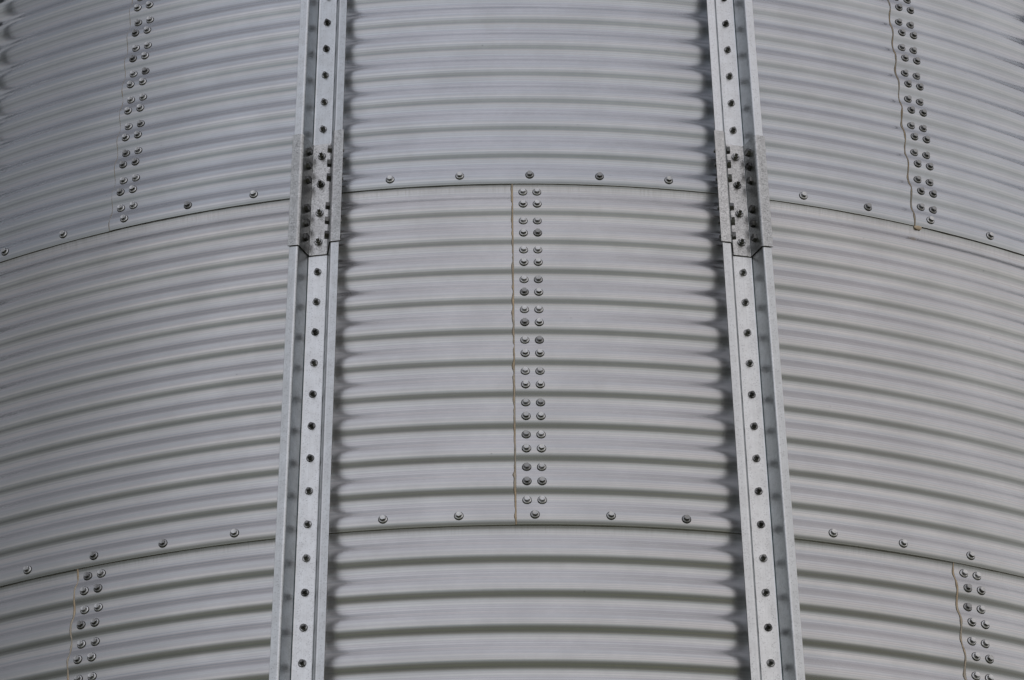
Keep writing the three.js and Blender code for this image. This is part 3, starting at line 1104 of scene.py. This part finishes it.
# %% Helpers for materials
def new_material(name):
    """A material whose Principled BSDF is joined to its output, and the piece's own metres."""
    material = bpy.data.materials.new(name)
    material.use_nodes = True
    tree = material.node_tree
    tree.nodes.clear()
    shader = add_node(tree, "ShaderNodeBsdfPrincipled")
    add_node(tree, "ShaderNodeOutputMaterial", {"Surface": shader.outputs[0]})
    metres = add_node(tree, "ShaderNodeTexCoord").outputs["Object"]
    return material, tree, shader, metres


def place_group(tree, group, vector, **inputs):
    """Places a group and returns its outputs. An argument cloud_scale feeds the input Cloud Scale."""
    named = {name.replace("_", " ").title(): value for name, value in inputs.items()}
    return add_node(tree, "ShaderNodeGroup", {"Vector": vector, **named}, node_tree=group).outputs


def read_attribute(tree, name, output="Fac"):
    """A number or a colour that is stored on a piece's points."""
    return add_node(tree, "ShaderNodeAttribute", attribute_name=name).outputs[output]


def coated(tree, colour, *coats):
    """A colour under coats, one over the other. A coat is (mask, its share, colour)."""
    for mask, share, coat in coats:
        colour = mix_colours(tree, math_node(tree, "MULTIPLY", mask, share), colour, coat)
    return colour


def bumpy_normal(tree, height, strength, distance):
    """The normal of a surface with a small relief."""
    inputs = {"Strength": strength, "Distance": distance, "Height": height}
    return add_node(tree, "ShaderNodeBump", inputs).outputs[0]


def finish_metal(tree, shader, colour, roughness, relief):
    """A metal whose roughness is (pattern, share, least) and relief (height, strength, distance)."""
    rough = math_node(tree, "MULTIPLY_ADD", *roughness)
    normal = bumpy_normal(tree, *relief)
    set_inputs(tree, shader, {"Base Color": colour, "Metallic": 1.0, "Roughness": rough, "Normal": normal})


def finish_with(pieces, slot, *materials):
    """Gives pieces their materials, and prints how many were given the named finish."""
    for piece in pieces:
        for material in materials:
            piece.data.materials.append(material)
    print(len(pieces), "pieces finished as", slot)


# %% Read the place on a sheet
sheet_zinc, tree, shader, metres = new_material("weathered_sheet_zinc")
wall_metres = add_node(tree, "ShaderNodeUVMap", uv_map=UV_MAP).outputs[0]
place = add_node(tree, "ShaderNodeSeparateXYZ", {0: wall_metres}).outputs
level = place["Y"]
pitches_up = math_node(tree, "MULTIPLY_ADD", level, 1 / PITCH, -HORIZONTAL_LAP / PITCH)
in_pitch = math_node(tree, "MULTIPLY", math_node(tree, "FRACT", pitches_up), PITCH)
rolled_metres = add_node(tree, "ShaderNodeCombineXYZ", {0: place["X"], 1: in_pitch, 2: 0.0}).outputs[0]
ring_share = math_node(tree, "FRACT", math_node(tree, "DIVIDE", level, RING_HEIGHT))
above_lap = math_node(tree, "MULTIPLY", ring_share, RING_HEIGHT)
below_lap = math_node(tree, "SUBTRACT", RING_HEIGHT, above_lap)
# Nothing laps over the upper ring, so its top edge has neither line nor runs.
is_lapped = math_node(tree, "LESS_THAN", level, 2.5 * RING_HEIGHT)
in_upper_ring = math_node(tree, "GREATER_THAN", level, 2.0 * RING_HEIGHT)

# %% Marks of rolling
fine_lines, tint_lines, ripples, long_streaks = (
    place_group(tree, streaks_group, vector, across_scale=across, along_scale=along)["Value"]
    for vector, across, along in (
        (rolled_metres, 210.0, 0.5),
        (rolled_metres, 120.0, 0.8),
        (rolled_metres, 95.0, 0.6),
        (wall_metres, 60.0, 1.0),
    )
)

# %% Marks under a lap: runs of water, a line of dirt and painted shade, a painted highlight
LINE_DEPTHS = (0.0018, 0.0036)
LINE_CORE = 0.0008
RUN_REACH = (0.042, 0.003)
PAINTED_HIGHLIGHT_REACH = (0.0030, 0.0012)

# The dark line just under each lap's edge is partly dirt and partly painted shade of the lap.
line_noise = noise_value(tree, scaled(tree, wall_metres, (9.0, 0.0, 1.0)), 1.0, 3.0)
line_depth = remap(tree, line_noise, 0.35, 0.65, *LINE_DEPTHS)
lap_shade_and_dirt = math_node(tree, "MULTIPLY", remap(tree, below_lap, line_depth, LINE_CORE), is_lapped)
run_noise = noise_value(tree, scaled(tree, wall_metres, (420.0, 9.0, 1.0)), 1.0, 4.0)
runs = math_node(
    tree, "MULTIPLY", remap(tree, run_noise, 0.40, 0.72), remap(tree, below_lap, *RUN_REACH)
)
runs = math_node(tree, "MULTIPLY", runs, is_lapped)
# A thin painted highlight along the lower edge of each lapping sheet.
painted_lap_highlight = remap(tree, above_lap, *PAINTED_HIGHLIGHT_REACH)

# %% Colour the sheets
mottle = place_group(tree, mottle_group, metres, cloud_scale=5.0, crystal_scale=70.0)
patches = place_group(tree, grime_group, metres, scale=7.0, amount=0.35)["Mask"]
specks = place_group(tree, specks_group, metres, scale=22.0, size=0.05, share=0.12)["Mask"]
colour = mix_colours(tree, mottle["Clouds"], grey(0.695, 0.004), grey(0.630, 0.004))
for pattern, low_tint, high_tint in (
    (fine_lines, (1.10, 1.09, 1.07, 1), (0.88, 0.89, 0.915, 1)),
    (tint_lines, (1.02, 0.99, 1.00, 1), (0.98, 1.01, 1.02, 1)),
    (in_upper_ring, grey(1.0), (0.93, 0.96, 1.00, 1)),
):
    colour = tinted(tree, colour, mix_colours(tree, pattern, low_tint, high_tint))
colour = coated(
    tree,
    colour,
    (mottle["Crystals"], 0.10, grey(0.52)),
    (patches, 0.20, (0.42, 0.39, 0.34, 1)),
    (runs, 0.22, (0.24, 0.22, 0.18, 1)),
    (painted_lap_highlight, 0.6, grey(0.92)),
    (lap_shade_and_dirt, 1.0, (0.11, 0.10, 0.065, 1)),
    (specks, 0.7, grey(0.05)),
)

# %% Give the sheets their gloss and relief
SIDEWAYS_BLUR = 0.58

along_wall = add_node(tree, "ShaderNodeTangent", direction_type="UV_MAP", uv_map=UV_MAP).outputs[0]
set_inputs(tree, shader, {"Anisotropic": SIDEWAYS_BLUR, "Tangent": along_wall})
rough = math_node(tree, "MULTIPLY_ADD", mottle["Clouds"], 0.03, 0.205)
rough = math_node(tree, "MULTIPLY_ADD", fine_lines, 0.02, rough)
relief = math_node(tree, "MULTIPLY_ADD", long_streaks, 0.8, ripples)
finish_metal(tree, shader, colour, (lap_shade_and_dirt, 0.4, rough), (relief, 0.12, 0.0001))

# %% Darken cut edges: stained raw steel, darkened further as painted shade
cut_edge, tree, shader, metres = new_material("dark_cut_edge")
# Nearly black: the raw edge's stains, darkened further as painted shade of the gap and shadow under each cut
# edge.
stain = remap(tree, noise_value(tree, metres, 60.0, 5.0, 0.6), 0.35, 0.65)
colour = mix_colours(tree, stain, (0.035, 0.032, 0.022, 1), (0.010, 0.009, 0.007, 1))
set_inputs(tree, shader, {"Base Color": colour, "Specular IOR Level": 0.2, "Roughness": 0.7})
finish_with(sheets, "galvanised_sheet", sheet_zinc, cut_edge)

# %% [markdown]
# ## Brighter and duller zinc on the uprights
#
# The stiffeners are newer and brighter than the sheets, with streaks that run up their length, and each
# length has its own tint. The sleeves were dipped separately: their zinc froze rough and dull, with fine
# dark speckles. On both, the number that was stored with the section darkens and cools the flanges a
# little, and the sides and creases more as painted shade, and on the stiffeners clouds of dust darken
# those places more, partly dust and partly painted shade.

# %% Finish the stiffeners
PAINTED_SHADE_TINT = (0.0, 0.07, 0.10, 1)

stiffener_zinc, tree, shader, metres = new_material("bright_stiffener_zinc")
shine = read_attribute(tree, SHINE_ATTRIBUTE)
painted_shade = math_node(tree, "SUBTRACT", 1.0, shine)
upright_metres = add_node(
    tree, "ShaderNodeVectorRotate", {"Vector": metres, "Angle": math.pi / 2}, rotation_type="Y_AXIS"
).outputs[0]
streaks = place_group(tree, streaks_group, upright_metres, across_scale=320.0, along_scale=5.0)["Value"]
mottle = place_group(tree, mottle_group, metres, cloud_scale=30.0, crystal_scale=300.0)
specks = place_group(tree, specks_group, metres, scale=110.0, size=0.22, share=0.10)["Mask"]
grain = place_group(tree, specks_group, metres, scale=190.0, size=0.50, share=0.40)["Mask"]
dust = place_group(tree, grime_group, metres, scale=35.0, amount=0.9)["Mask"]
colour = mix_colours(tree, mottle["Clouds"], grey(1.0, -0.01), grey(0.93))
colour = tinted(tree, colour, read_attribute(tree, TINT_ATTRIBUTE, "Color"))
colour = coated(
    tree,
    colour,
    (streaks, 0.30, grey(0.72, -0.02)),
    (mottle["Crystals"], 0.20, grey(0.66)),
    (grain, 0.45, grey(0.35)),
    (specks, 0.5, grey(0.20)),
)
# A low number darkens and cools the place: painted shade on sides and creases, duller zinc on the flanges.
colour = tinted(tree, colour, mix_colours(tree, shine, PAINTED_SHADE_TINT, grey(1.0)))
# Clouds of dust only where the number is low: partly dust, partly painted shade.
colour = coated(tree, colour, (dust, painted_shade, (0.20, 0.205, 0.19, 1)))
relief = math_node(tree, "ADD", streaks, mottle["Crystals"])
finish_metal(tree, shader, colour, (mottle["Clouds"], 0.08, 0.28), (relief, 0.15, 0.0002))
finish_with(stiffeners, "galvanised_stiffener", stiffener_zinc, cut_edge)

# %% Finish the sleeves
sleeve_zinc, tree, shader, metres = new_material("dull_sleeve_zinc")
shine = read_attribute(tree, SHINE_ATTRIBUTE)
mottle = place_group(tree, mottle_group, metres, cloud_scale=22.0, crystal_scale=300.0)
specks = place_group(tree, specks_group, metres, scale=230.0, size=0.50, share=0.45)["Mask"]
dust = place_group(tree, grime_group, metres, scale=30.0, amount=0.7)["Mask"]
colour = mix_colours(tree, mottle["Clouds"], grey(0.90, 0.01), grey(0.79, 0.015))
colour = coated(tree, colour, (mottle["Crystals"], 0.55, grey(0.42)), (specks, 0.85, grey(0.12)))
# The same painted shade on the sleeve's sides and creases.
colour = tinted(tree, colour, mix_colours(tree, shine, PAINTED_SHADE_TINT, grey(1.0)))
colour = coated(tree, colour, (dust, 0.35, (0.26, 0.25, 0.23, 1)))
crystals = mottle["Crystals"]
finish_metal(tree, shader, colour, (crystals, 0.12, 0.30), (crystals, 0.3, 0.0003))
finish_with(sleeves, "dull_sleeve", sleeve_zinc, cut_edge)

# %% [markdown]
# ## Bolts, rubber and sealant
#
# The tone that each bolt carries picks its colour: about half of them are bright, and the others duller
# the lower their tone. Dark zinc is painted shade: on the nuts of the uprights, with a ring of plain zinc
# under them, on the sides of the heads and on the bolts inside the sleeves' channels. Rubber and butyl
# aren't metals: they scatter light, so their Metallic is 0 and their Roughness is high.

# %% Finish the bolts
DULL_TO_BRIGHT = (0.05, 0.50)

bolt_zinc, tree, shader, metres = new_material("bolt_zinc")
brightness = remap(tree, read_attribute(tree, TONE_ATTRIBUTE), *DULL_TO_BRIGHT)
mottle = place_group(tree, mottle_group, metres, cloud_scale=120.0, crystal_scale=500.0)
grime = place_group(tree, grime_group, metres, scale=160.0, amount=0.55)["Mask"]
colour = mix_colours(tree, brightness, grey(0.36), grey(0.78))
colour = coated(
    tree, colour, (mottle["Clouds"], 0.20, grey(0.30, 0.02)), (grime, 0.5, (0.10, 0.085, 0.06, 1))
)
finish_metal(tree, shader, colour, (mottle["Clouds"], 0.15, 0.14), (mottle["Crystals"], 0.2, 0.0002))

# %% Finish the zinc painted with shade
shaded_bolt_zinc, tree, shader, metres = new_material("shaded_bolt_zinc")
mottle = place_group(tree, mottle_group, metres, cloud_scale=120.0, crystal_scale=500.0)
# Dark zinc that stands for the shade on these nuts and bolts.
colour = mix_colours(tree, read_attribute(tree, TONE_ATTRIBUTE), grey(0.12), grey(0.32))
colour = coated(tree, colour, (mottle["Clouds"], 0.4, grey(0.05, 0.1)))
finish_metal(tree, shader, colour, (mottle["Clouds"], 0.2, 0.18), (mottle["Crystals"], 0.2, 0.0002))

# %% Finish the sealing washers
washer_rubber, tree, shader, metres = new_material("washer_rubber")
dust = remap(tree, noise_value(tree, metres, 300.0, 4.0), 0.45, 0.8)
colour = mix_colours(tree, dust, grey(0.012), grey(0.07, 0.1))
set_inputs(tree, shader, {"Base Color": colour, "Roughness": 0.75})
finish_with(bolt_pieces, "zinc_fastener", bolt_zinc, washer_rubber, shaded_bolt_zinc)

# %% Finish the sealant
butyl, tree, shader, metres = new_material("tan_butyl")
along_bead = remap(tree, noise_value(tree, metres, 9.0, 3.0), 0.4, 0.62)
fine = noise_value(tree, metres, 260.0, 4.0)
grime = place_group(tree, grime_group, metres, scale=70.0, amount=0.8)["Mask"]
colour = coated(
    tree,
    mix_colours(tree, along_bead, (0.72, 0.55, 0.35, 1), (0.62, 0.56, 0.46, 1)),
    (fine, 0.35, (0.90, 0.76, 0.54, 1)),
    (grime, 0.6, (0.05, 0.04, 0.025, 1)),
    # Dirt, and painted shade along the bead's edges.
    (read_attribute(tree, DIRT_AND_SHADE_ATTRIBUTE), 1.0, (0.018, 0.015, 0.009, 1)),
)
normal = bumpy_normal(tree, fine, 0.5, 0.0006)
set_inputs(tree, shader, {"Base Color": colour, "Roughness": 0.8, "Normal": normal})
finish_with(beads, "sealant", butyl)
